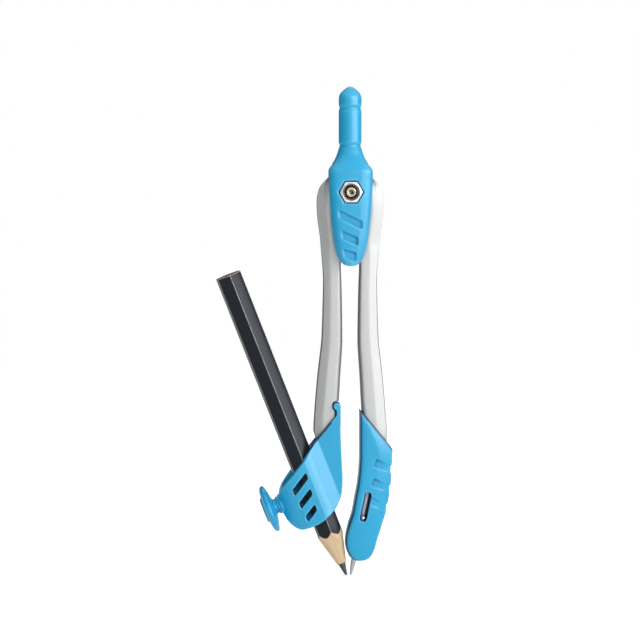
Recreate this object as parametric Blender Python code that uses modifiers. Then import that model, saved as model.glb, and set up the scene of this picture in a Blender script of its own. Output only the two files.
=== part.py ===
"""A school drawing compass with a pencil holder and a retracting needle.

The handle stands upright along Z and the origin is on its axis, halfway up the grip.
X runs to the right, the front of the compass faces -Y. All lengths are in metres.
"""
import math

import bmesh
import bpy
from mathutils import Matrix, Vector

for old_object in list(bpy.data.objects):
    bpy.data.objects.remove(old_object, do_unlink=True)

# Units and fits
mm = 0.001
clearance = 0.3 * mm
weld = 0.01 * mm
overrun = 3.0 * mm
round_sides = 28
small_sides = 18

# Pivot
pivot_drop = 17.4 * mm
pivot = Vector((0.0, 0.0, -pivot_drop))
bolt_radius = 1.5 * mm
bolt_head_radius = 2.9 * mm
bolt_head_height = 1.0 * mm
bolt_chamfer = 0.25 * mm
bolt_dimple_radius = 0.6 * mm
bolt_dimple_depth = 0.9 * mm
nut_flats = 5.5 * mm
nut_height = 1.6 * mm
nut_mouth = 0.55 * mm
washer_radius = 4.8 * mm
washer_height = 0.4 * mm
tab_height = 1.8 * mm
tab_radius = 5.2 * mm

# Handle
grip_radius = 3.12 * mm
grip_rise = 11.1 * mm
grip_drop = 4.9 * mm
fork_bottom = 37.5 * mm
fork_width = 12.7 * mm
fork_depth = 11.6 * mm
fork_back = 5.5 * mm
fork_floor = 0.8 * mm
slot_top = 9.9 * mm
relief_depth = 0.5 * mm
relief_radius = 0.45 * mm
relief_height = 2.2 * mm
relief_pitch = 5.3 * mm
relief_drop = 4.7 * mm
relief_slope = math.radians(26.5)
relief_width = 6.4 * mm

# Legs
leg_length = 68.5 * mm
leg_spread = 10.2 * mm
leg_depth = 5.4 * mm
end_place = 6.6 * mm
end_rise = 3.9 * mm
end_drop = leg_length - end_rise
end_slope = math.radians(50.5)
sleeve_cover = 2.0 * mm
tongue_inner = 3.9 * mm
tongue_outer = 6.5 * mm
tongue_depth = 3.2 * mm
tongue_reach = 4.6 * mm
tongue_drop = leg_length + tongue_reach

# Pencil
pencil_flats = 7.0 * mm
pencil_length = 89.35 * mm
pencil_tilt = math.radians(21.3)
pencil_reach = 37.5 * mm
pencil_place = -0.88 * mm
pencil_tip = Vector((pencil_place, 0.0, -pivot_drop - leg_length - pencil_reach))
point_angle = math.radians(14.7)
ridge_radius = 0.5 * mm
lead_radius = 1.0 * mm
lead_tip_radius = 0.3 * mm
lead_show = 3.5 * mm
lead_fit = 0.15 * mm
wood_edge = 0.1 * mm

# Pencil holder
holder_low = 16.85 * mm
holder_height = 25.4 * mm
fold_reach = 9.9 * mm
plate_reach = 14.2 * mm
plate_depth = 6.8 * mm
arch_depth = 11.4 * mm
crease_place = 6.3 * mm
fold_wall = 2.5 * mm
window_height = 1.85 * mm
window_width = 5.2 * mm
window_step = 0.8 * mm
window_shift = 0.45 * mm
window_pitch = 4.52 * mm
window_top = 31.64 * mm
window_slope = math.radians(32.0)
window_radius = 0.5 * mm
rim_width = 0.55 * mm
rim_depth = 2.2 * mm
spur_width = 1.1 * mm
spur_edge = 2.65 * mm
spur_front = plate_depth / 2
spur_back = 1.2 * mm
bead_width = 2.0 * mm
bead_height = 1.9 * mm
bead_rise = 10.65 * mm
bead_drop = leg_length - bead_rise

# Clamp
clamp_height = 25.15 * mm
clamp_travel = 1.0 * mm
screw_radius = 1.5 * mm
insert_radius = 2.5 * mm
insert_length = 1.5 * mm
pad_radius = 2.2 * mm
pad_height = 1.5 * mm
pad_floor = 0.5 * mm
knob_radius = 6.65 * mm
knob_height = 2.6 * mm
knob_neck_radius = 2.0 * mm
knob_neck = 1.4 * mm
collar_radius = 2.5 * mm
collar_height = 0.4 * mm
boss_radius = 3.5 * mm
boss_height = 0.5 * mm

# Needle
needle_reach = 37.6 * mm
needle_place = 0.24 * mm
needle_tip = Vector((needle_place, 0.0, -pivot_drop - leg_length - needle_reach))
needle_tilt = math.radians(11.3)
needle_radius = 0.75 * mm
shank_radius = 0.5 * mm
needle_tip_radius = 0.06 * mm
needle_taper = 5.0 * mm
needle_length = 16.1 * mm
needle_travel = 6.4 * mm
carrier_radius = 1.3 * mm
carrier_low = 12.5 * mm
carrier_length = 12.6 * mm
stud_height = 16.8 * mm
stud_radius = 0.65 * mm
stud_neck_radius = 0.35 * mm
stud_reach = 3.2 * mm

# Needle cover
cover_rise = 9.5 * mm
cover_top = leg_length - cover_rise
cover_length = 42.8 * mm
cover_left = 2.6 * mm
cover_width = 9.4 * mm
cover_depth = 8.0 * mm
groove_depth = 0.5 * mm
groove_height = 2.2 * mm
groove_pitch = 5.3 * mm
groove_reach = 4.7 * mm
groove_drop = leg_length + groove_reach
groove_slope = math.radians(25.0)
groove_start = 7.05 * mm
groove_shift = 0.65 * mm
facet_slope = math.radians(24.0)
facet_lean = math.radians(18.0)
facet_place = 4.3 * mm
facet_reach = 25.5 * mm
facet_drop = leg_length + facet_reach
spring_width = 1.5 * mm
spring_height = 0.25 * mm
spring_length = 6.2 * mm
spring_bow = 0.35 * mm


def collection(name):
    group = bpy.data.collections.new(name)
    bpy.context.scene.collection.children.link(group)
    return group


parts = collection("drawing_compass")
cutters = collection("cutters")
joints = collection("joint_axes")


def material(name, colour, roughness, metallic):
    made = bpy.data.materials.new(name)
    made.use_nodes = True
    shader = made.node_tree.nodes["Principled BSDF"]
    shader.inputs["Base Color"].default_value = (*colour, 1.0)
    shader.inputs["Roughness"].default_value = roughness
    shader.inputs["Metallic"].default_value = metallic
    made.diffuse_color = (*colour, 1.0)
    return made


# Colours are linear values of what the photograph shows
blue = (0.05, 0.42, 0.79)
silver = (0.55, 0.56, 0.56)
steel = (0.62, 0.62, 0.62)
brass = (0.66, 0.42, 0.16)
lacquer = (0.02, 0.025, 0.035)
graphite = (0.06, 0.06, 0.065)
pale_grey = (0.42, 0.42, 0.4)


# Shapes

def link(name, mesh, group):
    made = bpy.data.objects.new(name, mesh)
    group.objects.link(made)
    if group == cutters:
        made.hide_render = True
        made.display_type = "WIRE"
    return made


def attach(child, parent):
    """Parents an object where it stands."""
    bpy.context.view_layer.update()
    child.parent = parent
    child.matrix_parent_inverse = parent.matrix_world.inverted()


def axis_empty(name, matrix, parent=None):
    made = bpy.data.objects.new(name, None)
    joints.objects.link(made)
    made.matrix_world = matrix
    if parent is not None:
        attach(made, parent)
    bpy.context.view_layer.update()
    return made


def set_origin(item, point):
    """Moves the object's origin to a point and leaves its shape where it is."""
    item.data.transform(Matrix.Translation(-point))
    item.location = item.location + point


def smooth(item, angle=math.radians(35.0)):
    item.data.shade_smooth()
    item.data.set_sharp_from_angle(angle=angle)


def turned(name, profile, group, frame=None, sides=round_sides):
    """A solid of revolution about Z from (radius, height) points, outer side downwards."""
    mesh = bpy.data.meshes.new(name)
    closed = profile[0][0] > 0.0
    points = [(radius, 0.0, height) for radius, height in profile]
    edges = [(i, i + 1) for i in range(len(points) - 1)]
    if closed:
        edges.append((len(points) - 1, 0))
    mesh.from_pydata(points, edges, [])
    made = link(name, mesh, group)
    screw = made.modifiers.new("turn", "SCREW")
    screw.axis = "Z"
    screw.angle = math.tau
    screw.steps = sides
    screw.render_steps = sides
    screw.use_merge_vertices = True
    screw.merge_threshold = weld
    screw.use_smooth_shade = True
    made = baked(made, group)
    smooth(made)
    if frame is not None:
        made.matrix_world = frame
    return made


def baked(item, group):
    """Replaces an object by a mesh object with the shape its modifiers or curve give."""
    bpy.context.view_layer.update()
    evaluated = item.evaluated_get(bpy.context.evaluated_depsgraph_get())
    mesh = bpy.data.meshes.new_from_object(evaluated)
    matrix = item.matrix_world.copy()
    name = item.name
    bpy.data.objects.remove(item, do_unlink=True)
    shape = bmesh.new()
    shape.from_mesh(mesh)
    bmesh.ops.remove_doubles(shape, verts=shape.verts, dist=weld)
    bmesh.ops.recalc_face_normals(shape, faces=shape.faces)
    shape.to_mesh(mesh)
    shape.free()
    mesh.name = name
    made = link(name, mesh, group)
    made.matrix_world = matrix
    return made


def plate(name, outline, half_depth, group, frame=None):
    """A flat outline of (x, z) points, thickened both ways along Y."""
    curve = bpy.data.curves.new(name, "CURVE")
    curve.dimensions = "2D"
    curve.fill_mode = "BOTH"
    curve.extrude = half_depth
    spline = curve.splines.new("POLY")
    spline.points.add(len(outline) - 1)
    for point, (x, z) in zip(spline.points, outline):
        point.co = (x, z, 0.0, 1.0)
    spline.use_cyclic_u = True
    item = bpy.data.objects.new(name, curve)
    group.objects.link(item)
    made = baked(item, group)
    made.data.transform(Matrix.Rotation(math.pi / 2, 4, "X"))
    if frame is not None:
        made.matrix_world = frame
    return made


def loft(name, rings, group):
    """A closed skin over rings of points that all hold the same number of points."""
    shape = bmesh.new()
    rows = [[shape.verts.new(point) for point in ring] for ring in rings]
    for upper, lower in zip(rows, rows[1:]):
        for i in range(len(upper)):
            j = (i + 1) % len(upper)
            shape.faces.new((upper[i], upper[j], lower[j], lower[i]))
    shape.faces.new(rows[0])
    shape.faces.new(rows[-1])
    bmesh.ops.recalc_face_normals(shape, faces=shape.faces)
    mesh = bpy.data.meshes.new(name)
    shape.to_mesh(mesh)
    shape.free()
    made = link(name, mesh, group)
    smooth(made)
    return made


def section(left, right, half_depth, power, height, sides):
    """A level ring between an oval and a rounded rectangle, from its left to its right edge."""
    middle = (left + right) / 2
    half_width = (right - left) / 2
    ring = []
    for i in range(sides):
        angle = math.tau * i / sides
        c = math.cos(angle)
        s = math.sin(angle)
        x = middle + half_width * math.copysign(abs(c) ** (2 / power), c)
        y = half_depth * math.copysign(abs(s) ** (2 / power), s)
        ring.append(Vector((x, y, height)))
    return ring


def smooth_table(rows, steps):
    """Rows of a table with further rows between them, on a curve through all of them."""
    result = []
    for i in range(len(rows) - 1):
        before = rows[max(i - 1, 0)]
        start = rows[i]
        end = rows[i + 1]
        after = rows[min(i + 2, len(rows) - 1)]
        for k in range(steps):
            t = k / steps
            row = []
            for a, b, c, d in zip(before, start, end, after):
                bend = (2 * a - 5 * b + 4 * c - d) * t * t + (3 * b - a - 3 * c + d) * t * t * t
                row.append(b + ((c - a) * t + bend) / 2)
            result.append(tuple(row))
    result.append(tuple(rows[-1]))
    return result


def rounded(corners, radius, steps=3):
    """A closed outline with each corner replaced by a short curve."""
    result = []
    count = len(corners)
    for i, corner in enumerate(corners):
        here = Vector(corner)
        before = Vector(corners[i - 1])
        after = Vector(corners[(i + 1) % count])
        reach = min(radius, (before - here).length / 2, (after - here).length / 2)
        start = here + (before - here).normalized() * reach
        end = here + (after - here).normalized() * reach
        for k in range(steps + 1):
            t = k / steps
            spot = start * (1 - t) ** 2 + here * 2 * t * (1 - t) + end * t * t
            result.append((spot.x, spot.y))
    return result


def box(name, low, high, group, frame=None):
    """A box between two corners."""
    bpy.ops.mesh.primitive_cube_add(size=1.0)
    made = bpy.context.active_object
    for owner in list(made.users_collection):
        owner.objects.unlink(made)
    group.objects.link(made)
    made.name = name
    low = Vector(low)
    high = Vector(high)
    size = high - low
    made.data.transform(Matrix.Translation((low + high) / 2) @ Matrix.Diagonal((*size, 1.0)))
    if group == cutters:
        made.hide_render = True
        made.display_type = "WIRE"
    if frame is not None:
        made.matrix_world = frame
    return made


def rod(name, radius, low, high, group, frame=None, sides=round_sides):
    """A cylinder or prism about Z between two heights."""
    bpy.ops.mesh.primitive_cylinder_add(vertices=sides, radius=radius, depth=high - low)
    made = bpy.context.active_object
    for owner in list(made.users_collection):
        owner.objects.unlink(made)
    group.objects.link(made)
    made.name = name
    made.data.transform(Matrix.Translation((0.0, 0.0, (low + high) / 2)))
    if group == cutters:
        made.hide_render = True
        made.display_type = "WIRE"
    if frame is not None:
        made.matrix_world = frame
    return made


def combine(item, other, operation):
    if other.name not in cutters.objects:
        for owner in list(other.users_collection):
            owner.objects.unlink(other)
        cutters.objects.link(other)
    other.hide_render = True
    other.display_type = "WIRE"
    step = item.modifiers.new(other.name, "BOOLEAN")
    step.operation = operation
    step.solver = "EXACT"
    step.object = other


def cut(item, *others):
    for other in others:
        combine(item, other, "DIFFERENCE")


def join(item, *others):
    for other in others:
        combine(item, other, "UNION")


def keep(item, *others):
    for other in others:
        combine(item, other, "INTERSECT")


def finish(item, made_material, parent):
    """Applies the cuts and joins, then sets the shading, the material and the parent."""
    if len(item.modifiers) > 0:
        bpy.context.view_layer.update()
        evaluated = item.evaluated_get(bpy.context.evaluated_depsgraph_get())
        item.data = bpy.data.meshes.new_from_object(evaluated)
        item.data.name = item.name
        item.modifiers.clear()
    smooth(item)
    item.data.materials.clear()
    item.data.materials.append(made_material)
    attach(item, parent)


# Frames: Z of a frame runs along the axis that it is named for
upright = Matrix.Identity(4)
to_front = Matrix.Rotation(math.pi / 2, 4, "X")
pivot_frame = Matrix.Translation(pivot)
bolt_frame = pivot_frame @ to_front
pencil_frame = Matrix.Translation(pencil_tip) @ Matrix.Rotation(-pencil_tilt, 4, "Y")
clamp_frame = pencil_frame @ Matrix.Translation((0.0, 0.0, clamp_height)) @ Matrix.Rotation(-math.pi / 2, 4, "Y")
needle_frame = Matrix.Translation(needle_tip) @ Matrix.Rotation(needle_tilt, 4, "Y")

handle_axis = axis_empty("handle_axis", upright)
left_joint = axis_empty("left_leg_joint", pivot_frame, handle_axis)
right_joint = axis_empty("right_leg_joint", pivot_frame, handle_axis)
pencil_axis = axis_empty("pencil_axis", pencil_frame, left_joint)
clamp_axis = axis_empty("clamp_axis", clamp_frame, left_joint)
needle_axis = axis_empty("needle_axis", needle_frame, right_joint)

# Heights of the stack on the bolt, measured from its middle outwards
washer_half = washer_height / 2
tab_near = washer_half + clearance
tab_far = tab_near + tab_height
side_washer_near = tab_far + clearance
side_washer_far = side_washer_near + washer_height
slot_half = side_washer_far + clearance
pocket_floor = slot_half + fork_floor
nut_near = pocket_floor + clearance
nut_far = nut_near + nut_height
head_near = pocket_floor + clearance
head_far = head_near + bolt_head_height

# Handle

# Radius and height shares of the grip, from its tip down into the flare
grip_shares = [
    (0.00, 1.000), (0.16, 0.995), (0.32, 0.972), (0.53, 0.925), (0.75, 0.872), (0.88, 0.825),
    (0.95, 0.785), (0.985, 0.745), (1.00, 0.700), (1.00, 0.545), (0.985, 0.525), (0.94, 0.510),
    (0.925, 0.495), (0.925, 0.455), (0.94, 0.440), (0.985, 0.425), (1.00, 0.405),
]
grip_profile = [(r * grip_radius, h * grip_rise) for r, h in grip_shares]
groove_shares = [(1.00, -0.85), (0.975, -0.89), (0.93, -0.93), (0.92, -0.97), (0.80, -1.20), (0.00, -1.20)]
grip_profile += [(r * grip_radius, h * grip_drop) for r, h in groove_shares]

# Height share, half-width share, half-depth share and roundness of the fork, from the groove down
fork_shares = [
    (0.1225, 0.445, 0.485, 2.0), (0.1315, 0.460, 0.500, 2.0), (0.1435, 0.487, 0.530, 2.0),
    (0.1616, 0.526, 0.570, 2.1), (0.197, 0.590, 0.640, 2.3), (0.2275, 0.672, 0.720, 2.7),
    (0.2477, 0.735, 0.790, 3.2), (0.2688, 0.840, 0.880, 3.8), (0.2907, 0.930, 0.955, 4.3),
    (0.3093, 0.985, 0.990, 4.4), (0.3253, 1.000, 1.000, 4.2), (0.376, 0.997, 1.000, 4.0),
    (0.440, 0.988, 1.000, 4.0), (0.533, 0.957, 1.000, 4.0), (0.672, 0.893, 1.000, 4.0),
    (0.781, 0.822, 1.000, 3.8), (0.843, 0.766, 1.000, 3.6), (0.891, 0.706, 1.000, 3.4),
    (0.925, 0.645, 1.000, 3.2), (0.952, 0.572, 0.990, 3.0), (0.973, 0.485, 0.980, 2.9),
    (0.986, 0.400, 0.970, 2.8), (0.995, 0.300, 0.960, 2.7), (1.000, 0.190, 0.950, 2.6),
]
draft_share = 0.075


def drafted(ring):
    """A ring of the fork whose rear is a little narrower than its front."""
    return [Vector((spot.x * (1.0 - draft_share * (0.5 + spot.y / fork_depth)), spot.y, spot.z)) for spot in ring]


fork_rings = [
    drafted(section(-a * fork_width / 2, a * fork_width / 2, b * fork_depth / 2, power, -h * fork_bottom, 32))
    for h, a, b, power in fork_shares
]
handle = loft("handle", fork_rings, parts)
grip = turned("grip", grip_profile, cutters)
join(handle, grip)
slot = box("leg_slot", (-fork_width, -slot_half, -fork_bottom - overrun), (fork_width, slot_half, -slot_top), cutters)
back = box("flat_back", (-fork_width, fork_back, -fork_bottom - overrun), (fork_width, fork_depth, 0.0), cutters)
bolt_hole = rod("bolt_hole", bolt_radius + clearance, -fork_depth, fork_depth, cutters, bolt_frame)
head_recess = rod("head_recess", bolt_head_radius + clearance, -fork_depth, -pocket_floor, cutters, bolt_frame)
nut_span = (nut_flats + 2 * clearance) / math.sqrt(3)
hex_turn = Matrix.Rotation(math.pi / 6, 4, "Z")
nut_pocket = rod("nut_pocket", nut_span, pocket_floor, fork_depth, cutters, bolt_frame @ hex_turn, 6)
cut(handle, slot, back, bolt_hole, head_recess, nut_pocket)


def slanted(left, right, top, height, slope, radius):
    """A rounded parallelogram with upright ends, whose long sides fall to the right by a slope."""
    fall = math.tan(slope) * (right - left)
    return rounded([(left, top), (left, top - height), (right, top - height - fall), (right, top - fall)], radius)


# Left edge, right edge, top, height and slope shares of the three reliefs, from the upper one down
relief_shares = [
    (-0.540, 0.473, 0.000, 1.00, 1.00), (-0.389, 0.295, 1.057, 1.00, 0.93), (-0.342, 0.217, 2.000, 1.12, 0.65),
]
relief_face = fork_depth / 2 - relief_depth
for number, (left_share, right_share, top_share, height_share, slope_share) in enumerate(relief_shares):
    top = -pivot_drop - relief_drop - top_share * relief_pitch
    outline = slanted(left_share * relief_width, right_share * relief_width, top,
                      height_share * relief_height, slope_share * relief_slope, relief_radius)
    pocket = plate("relief_%d" % (number + 1), outline, fork_depth / 4, cutters)
    pocket.location.y = -relief_face - fork_depth / 4
    cut(handle, pocket)
finish(handle, material("handle_plastic", blue, 0.38, 0.0), handle_axis)

# Bolt, nut and washers
bolt_end = nut_far - nut_mouth
bolt_profile = [
    (0.0, bolt_end - bolt_dimple_depth),
    (bolt_dimple_radius, bolt_end - bolt_dimple_depth),
    (bolt_dimple_radius, bolt_end),
    (bolt_radius - bolt_chamfer, bolt_end),
    (bolt_radius, bolt_end - bolt_chamfer),
    (bolt_radius, -head_near),
    (bolt_head_radius, -head_near),
    (bolt_head_radius, -head_far + bolt_chamfer),
    (bolt_head_radius - bolt_chamfer, -head_far),
    (0.0, -head_far),
]
pivot_bolt = turned("pivot_bolt", bolt_profile, parts, bolt_frame)
finish(pivot_bolt, material("bolt_brass", brass, 0.3, 1.0), handle_axis)

hex_nut = rod("hex_nut", nut_flats / math.sqrt(3), nut_near, nut_far, parts, bolt_frame @ hex_turn, 6)
nut_bore = bolt_radius + clearance
bore_profile = [
    (0.0, nut_far + overrun),
    (nut_bore + nut_mouth + overrun, nut_far + overrun),
    (nut_bore, nut_far - nut_mouth),
    (nut_bore, nut_near - overrun),
    (0.0, nut_near - overrun),
]
cut(hex_nut, turned("nut_bore", bore_profile, cutters, bolt_frame))
corner_span = nut_flats / 2 + nut_height * 2
crown_profile = [
    (0.0, nut_far + overrun),
    (nut_flats / 2, nut_far),
    (corner_span, nut_far - (corner_span - nut_flats / 2) / 2),
    (corner_span, nut_near - overrun),
    (0.0, nut_near - overrun),
]
keep(hex_nut, turned("nut_crown", crown_profile, cutters, bolt_frame))
finish(hex_nut, material("nut_steel", steel, 0.22, 1.0), handle_axis)

washer_places = {
    "front_washer": side_washer_near,
    "middle_washer": -washer_half,
    "rear_washer": -side_washer_far,
}
washer_material = material("washer_fibre", pale_grey, 0.7, 0.0)
for name, low in washer_places.items():
    ring = [
        (washer_radius, low + washer_height), (washer_radius, low),
        (bolt_radius + clearance, low), (bolt_radius + clearance, low + washer_height),
    ]
    washer = turned(name, ring, parts, bolt_frame, small_sides)
    finish(washer, washer_material, handle_axis)

# Legs

# Drop below the pivot, outer edge, inner edge, depth and roundness shares down each leg
leg_shares = [
    (-0.058, 0.58, 0.45, 0.84, 4.0), (-0.050, 0.62, 0.40, 0.84, 4.0), (-0.032, 0.74, 0.26, 0.84, 4.0),
    (-0.012, 0.83, 0.10, 0.84, 4.0), (0.016, 0.88, 0.02, 0.84, 4.0), (0.044, 0.90, 0.02, 0.84, 4.0),
    (0.111, 0.875, 0.02, 0.84, 4.0), (0.174, 0.815, 0.09, 0.84, 4.0), (0.234, 0.78, 0.20, 0.84, 4.0),
    (0.293, 0.745, 0.245, 0.86, 3.4), (0.353, 0.725, 0.230, 0.90, 3.0), (0.434, 0.735, 0.215, 0.95, 2.8),
    (0.574, 0.765, 0.200, 1.00, 2.7), (0.634, 0.80, 0.21, 1.00, 2.7), (0.734, 0.88, 0.255, 1.00, 2.7),
    (0.834, 0.94, 0.29, 1.00, 2.7), (0.893, 0.97, 0.315, 1.00, 2.7),
]
left_end_shares = [(0.950, 0.99, 0.33, 1.0, 2.7), (0.975, 0.955, 0.335, 1.0, 2.7), (1.06, 0.76, 0.345, 1.0, 2.7)]
right_end_shares = [(0.953, 1.00, 0.33, 1.0, 2.7), (1.06, 0.99, 0.345, 1.0, 2.7)]
end_shares = {-1: left_end_shares, 1: right_end_shares}
head_share = 0.25


def seam(name, side, low, high):
    """A box in the slanted frame of the seam between a leg and its plastic, from low to high across it."""
    slant = Matrix.Translation((side * end_place, 0.0, -pivot_drop - end_drop))
    slant = slant @ Matrix.Rotation(side * end_slope, 4, "Y")
    reach = leg_length / 2
    return box(name, (-reach, -fork_width, low), (reach, fork_width, high), cutters, slant)


def on_seam(place):
    """The point of the seam at a distance from the handle's axis."""
    drop = (abs(place) - end_place) * math.tan(end_slope)
    return Vector((place, 0.0, -pivot_drop - end_drop - drop))


def leg_skin(name, side, grow, group):
    """The leg's outer skin on one side of the handle's axis, grown outwards by a distance."""
    rings = []
    for drop, outer, inner, depth, power in smooth_table(leg_shares + end_shares[side], 2):
        edges = sorted((side * outer * leg_spread, side * inner * leg_spread))
        half_depth = depth * leg_depth / 2
        if drop < head_share:
            half_depth = min(half_depth, tab_far)
        height = -pivot_drop - drop * leg_length
        rings.append(section(edges[0] - grow, edges[1] + grow, half_depth + grow, power, height, 20))
    skin = loft(name, rings, group)
    reach = leg_length / 2
    cut(skin, seam(name + "_end", side, -reach, -sleeve_cover - grow))
    return skin


def tongue(name, side, grow):
    """The flat tongue at the leg's end, which the plastic grips."""
    places = sorted((side * (tongue_inner - grow), side * (tongue_outer + grow)))
    half_depth = tongue_depth / 2 + grow
    root = on_seam(side * tongue_outer).z
    return box(name, (places[0], -half_depth, -pivot_drop - tongue_drop - grow),
               (places[1], half_depth, root), cutters)


def hook(name, grow, front, back, low):
    """The holder's spur along the left leg's inner edge with a bead at its top."""
    right = -spur_edge + grow
    neck = -spur_edge - spur_width - grow
    left = -spur_edge - bead_width - grow
    top = -pivot_drop - bead_drop + grow
    bottom = top - bead_height - 2 * grow
    shoulder = bead_height / 3
    corners = [
        (right, low), (right, top), (left + shoulder / 2, top), (left, top - shoulder),
        (left, bottom + shoulder), (neck, bottom), (neck, low),
    ]
    made = plate(name, rounded(corners, shoulder, 4), (front + back) / 2, cutters)
    made.location.y = (back - front) / 2
    return made


def make_leg(name, side, joint):
    """One leg on its side of the handle's axis, -1 for the left and 1 for the right."""
    leg = leg_skin(name, side, 0.0, parts)
    # The half of the head that the other leg's tab lies in, and the leg's own tab
    lap_half = tab_far + overrun
    spans = sorted((-side * tab_near, -side * tab_far))
    laps = sorted((-side * tab_near, side * lap_half))
    lap = rod(name + "_lap", tab_radius + clearance, laps[0], laps[1], cutters, bolt_frame)
    tab = rod(name + "_tab", tab_radius, spans[0], spans[1], cutters, bolt_frame)
    hole = rod(name + "_hole", bolt_radius + clearance, -lap_half, lap_half, cutters, bolt_frame)
    cut(leg, lap)
    join(leg, tab)
    cut(leg, hole)
    join(leg, tongue(name + "_tongue", side, 0.0))
    return leg


left_leg = make_leg("left_leg", -1, left_joint)
right_leg = make_leg("right_leg", 1, right_joint)
spur_low = on_seam(-spur_edge).z - sleeve_cover - overrun
# The spur's pocket is open to the front and leaves a web behind the spur
cut(left_leg, hook("hook_pocket", clearance, leg_depth, spur_back + clearance, spur_low - overrun))
set_origin(left_leg, pivot)
set_origin(right_leg, pivot)
finish(left_leg, material("left_leg_metal", silver, 0.42, 0.85), left_joint)
finish(right_leg, material("right_leg_metal", silver, 0.42, 0.85), right_joint)

# Pencil

hex_radius = pencil_flats / math.sqrt(3)
casing = rod("pencil_casing", hex_radius, 0.0, pencil_length, parts, pencil_frame, 6)
shape = bmesh.new()
shape.from_mesh(casing.data)
ridges = [edge for edge in shape.edges if abs(edge.verts[0].co.z - edge.verts[1].co.z) > pencil_flats]
bmesh.ops.bevel(shape, geom=ridges, offset=ridge_radius, segments=2, profile=0.5, affect="EDGES")
shape.to_mesh(casing.data)
shape.free()
lead_bore = lead_radius + lead_fit
cone_low = lead_show
cone_start = lead_bore + wood_edge
cone_end = hex_radius + overrun
cone_rise = (cone_end - cone_start) / math.tan(point_angle)
point_profile = [
    (0.0, pencil_length + overrun), (cone_end, pencil_length + overrun),
    (cone_end, cone_low + cone_rise), (cone_start, cone_low), (0.0, cone_low),
]
keep(casing, turned("pencil_point", point_profile, cutters, pencil_frame, 36))
cut(casing, rod("lead_bore", lead_bore, -overrun, pencil_length + overrun, cutters, pencil_frame, small_sides))
finish(casing, material("casing_lacquer", lacquer, 0.28, 0.0), pencil_axis)

lead_profile = [
    (0.0, pencil_length), (lead_radius, pencil_length), (lead_radius, lead_show),
    (lead_tip_radius, lead_tip_radius), (lead_tip_radius / 2, 0.0), (0.0, 0.0),
]
lead = turned("pencil_lead", lead_profile, parts, pencil_frame, small_sides)
finish(lead, material("lead_graphite", graphite, 0.4, 0.2), pencil_axis)

# Pencil holder: a wrap round the pencil and a sleeve on the leg's tongue

# Place across the pencil over the fold's or the plate's reach, and height share, from the slanted
# top edge round the fold and the lower edge back to the leg
holder_left_shares = [
    (0.495, 0.805), (0.344, 0.767), (0.061, 0.694), (-0.174, 0.637), (-0.410, 0.580), (-0.643, 0.520),
    (-0.806, 0.470), (-0.917, 0.415), (-0.980, 0.340), (-1.00, 0.250), (-0.975, 0.165), (-0.91, 0.10),
    (-0.81, 0.045), (-0.69, 0.010), (-0.55, 0.0), (-0.25, 0.001),
]
holder_right_shares = [
    (-0.02, 0.018), (0.11, 0.043), (0.22, 0.068), (0.335, 0.110), (0.445, 0.170), (0.535, 0.250),
    (0.630, 0.375), (0.730, 0.545), (0.855, 0.750), (0.965, 0.925),
]
wrap_edge = [(x * fold_reach, z * holder_height + holder_low) for x, z in holder_left_shares]
wrap_edge += [(x * plate_reach, z * holder_height + holder_low) for x, z in holder_right_shares]
wrap_edge = smooth_table(wrap_edge, 2)

# Shares of the rim's width by which the wrap's rear reaches further than its front along the upper edge
rim_shares = [0.9] + [1.0] * 11 + [0.95, 0.85, 0.7, 0.5, 0.25]
rim_out_shares = (-0.56, 0.83)
rim_edge = [
    (x + rim_out_shares[0] * share * rim_width, z + rim_out_shares[1] * share * rim_width)
    for (x, z), share in zip(wrap_edge, rim_shares)
]
to_pencil = pencil_frame.inverted()


seam_right = to_pencil @ on_seam(-spur_edge)
seam_left = to_pencil @ on_seam(-leg_spread)
holder_outline = [(seam_right.x, seam_right.z), (seam_left.x, seam_left.z)] + rim_edge + wrap_edge[len(rim_edge):]
holder = plate("pencil_holder", holder_outline, arch_depth, parts, pencil_frame)

# Half of the wrap's section: place share and depth share of the outer skin, from the plate to the fold
skin_shares = [
    (0.70, 0.64), (0.48, 0.80), (0.30, 0.93), (0.10, 0.99), (-0.10, 1.00), (-0.30, 0.98),
    (-0.50, 0.92), (-0.68, 0.81), (-0.82, 0.65), (-0.92, 0.46), (-0.98, 0.24),
]
skin_half = [(plate_reach + overrun, plate_depth / 2), (crease_place, plate_depth / 2)]
skin_half += [(x * (crease_place if x > 0 else fold_reach), y * arch_depth / 2) for x, y in skin_shares[1:]]
skin = skin_half + [(-fold_reach, 0.0)] + [(x, -y) for x, y in reversed(skin_half)]
flat_turn = Matrix.Rotation(-math.pi / 2, 4, "X")
wrap_middle = Matrix.Translation((0.0, 0.0, holder_low + holder_height / 2))
wrap_frame = pencil_frame @ wrap_middle @ flat_turn
keep(holder, plate("wrap_skin", skin, holder_height, cutters, wrap_frame))

# The channel holds the pencil's two right flats and leaves room for the clamp pad
flat_place = pencil_flats / 2 + clearance
vertex_depth = hex_radius + clearance * 2 / math.sqrt(3)
channel_end = fold_reach - fold_wall
channel_half = [
    (flat_place, flat_place / math.sqrt(3)), (0.0, vertex_depth), (-flat_place, vertex_depth * 0.93),
    (-(flat_place + channel_end) / 2 - clearance, vertex_depth * 0.78), (-channel_end, vertex_depth / 3),
]
channel = channel_half + [(x, -y) for x, y in reversed(channel_half)]
cut(holder, plate("pencil_channel", rounded(channel, clearance), holder_height * 2, cutters, wrap_frame))

# A bevel along the upper edge of the wrap, in front
rim_top = rim_edge[0][1] + overrun
rim_left = -fold_reach - overrun
outside = [(rim_left, rim_edge[-1][1]), (rim_left, rim_top), (rim_edge[0][0], rim_top)]
rim_rings = []
for edge, y in ((wrap_edge, -arch_depth), (wrap_edge, -arch_depth / 2), (rim_edge, rim_depth - arch_depth / 2)):
    rim_rings.append([pencil_frame @ Vector((x, y, z)) for x, z in edge[:len(rim_edge)] + outside])
cut(holder, loft("rim_bevel", rim_rings, cutters))

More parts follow.
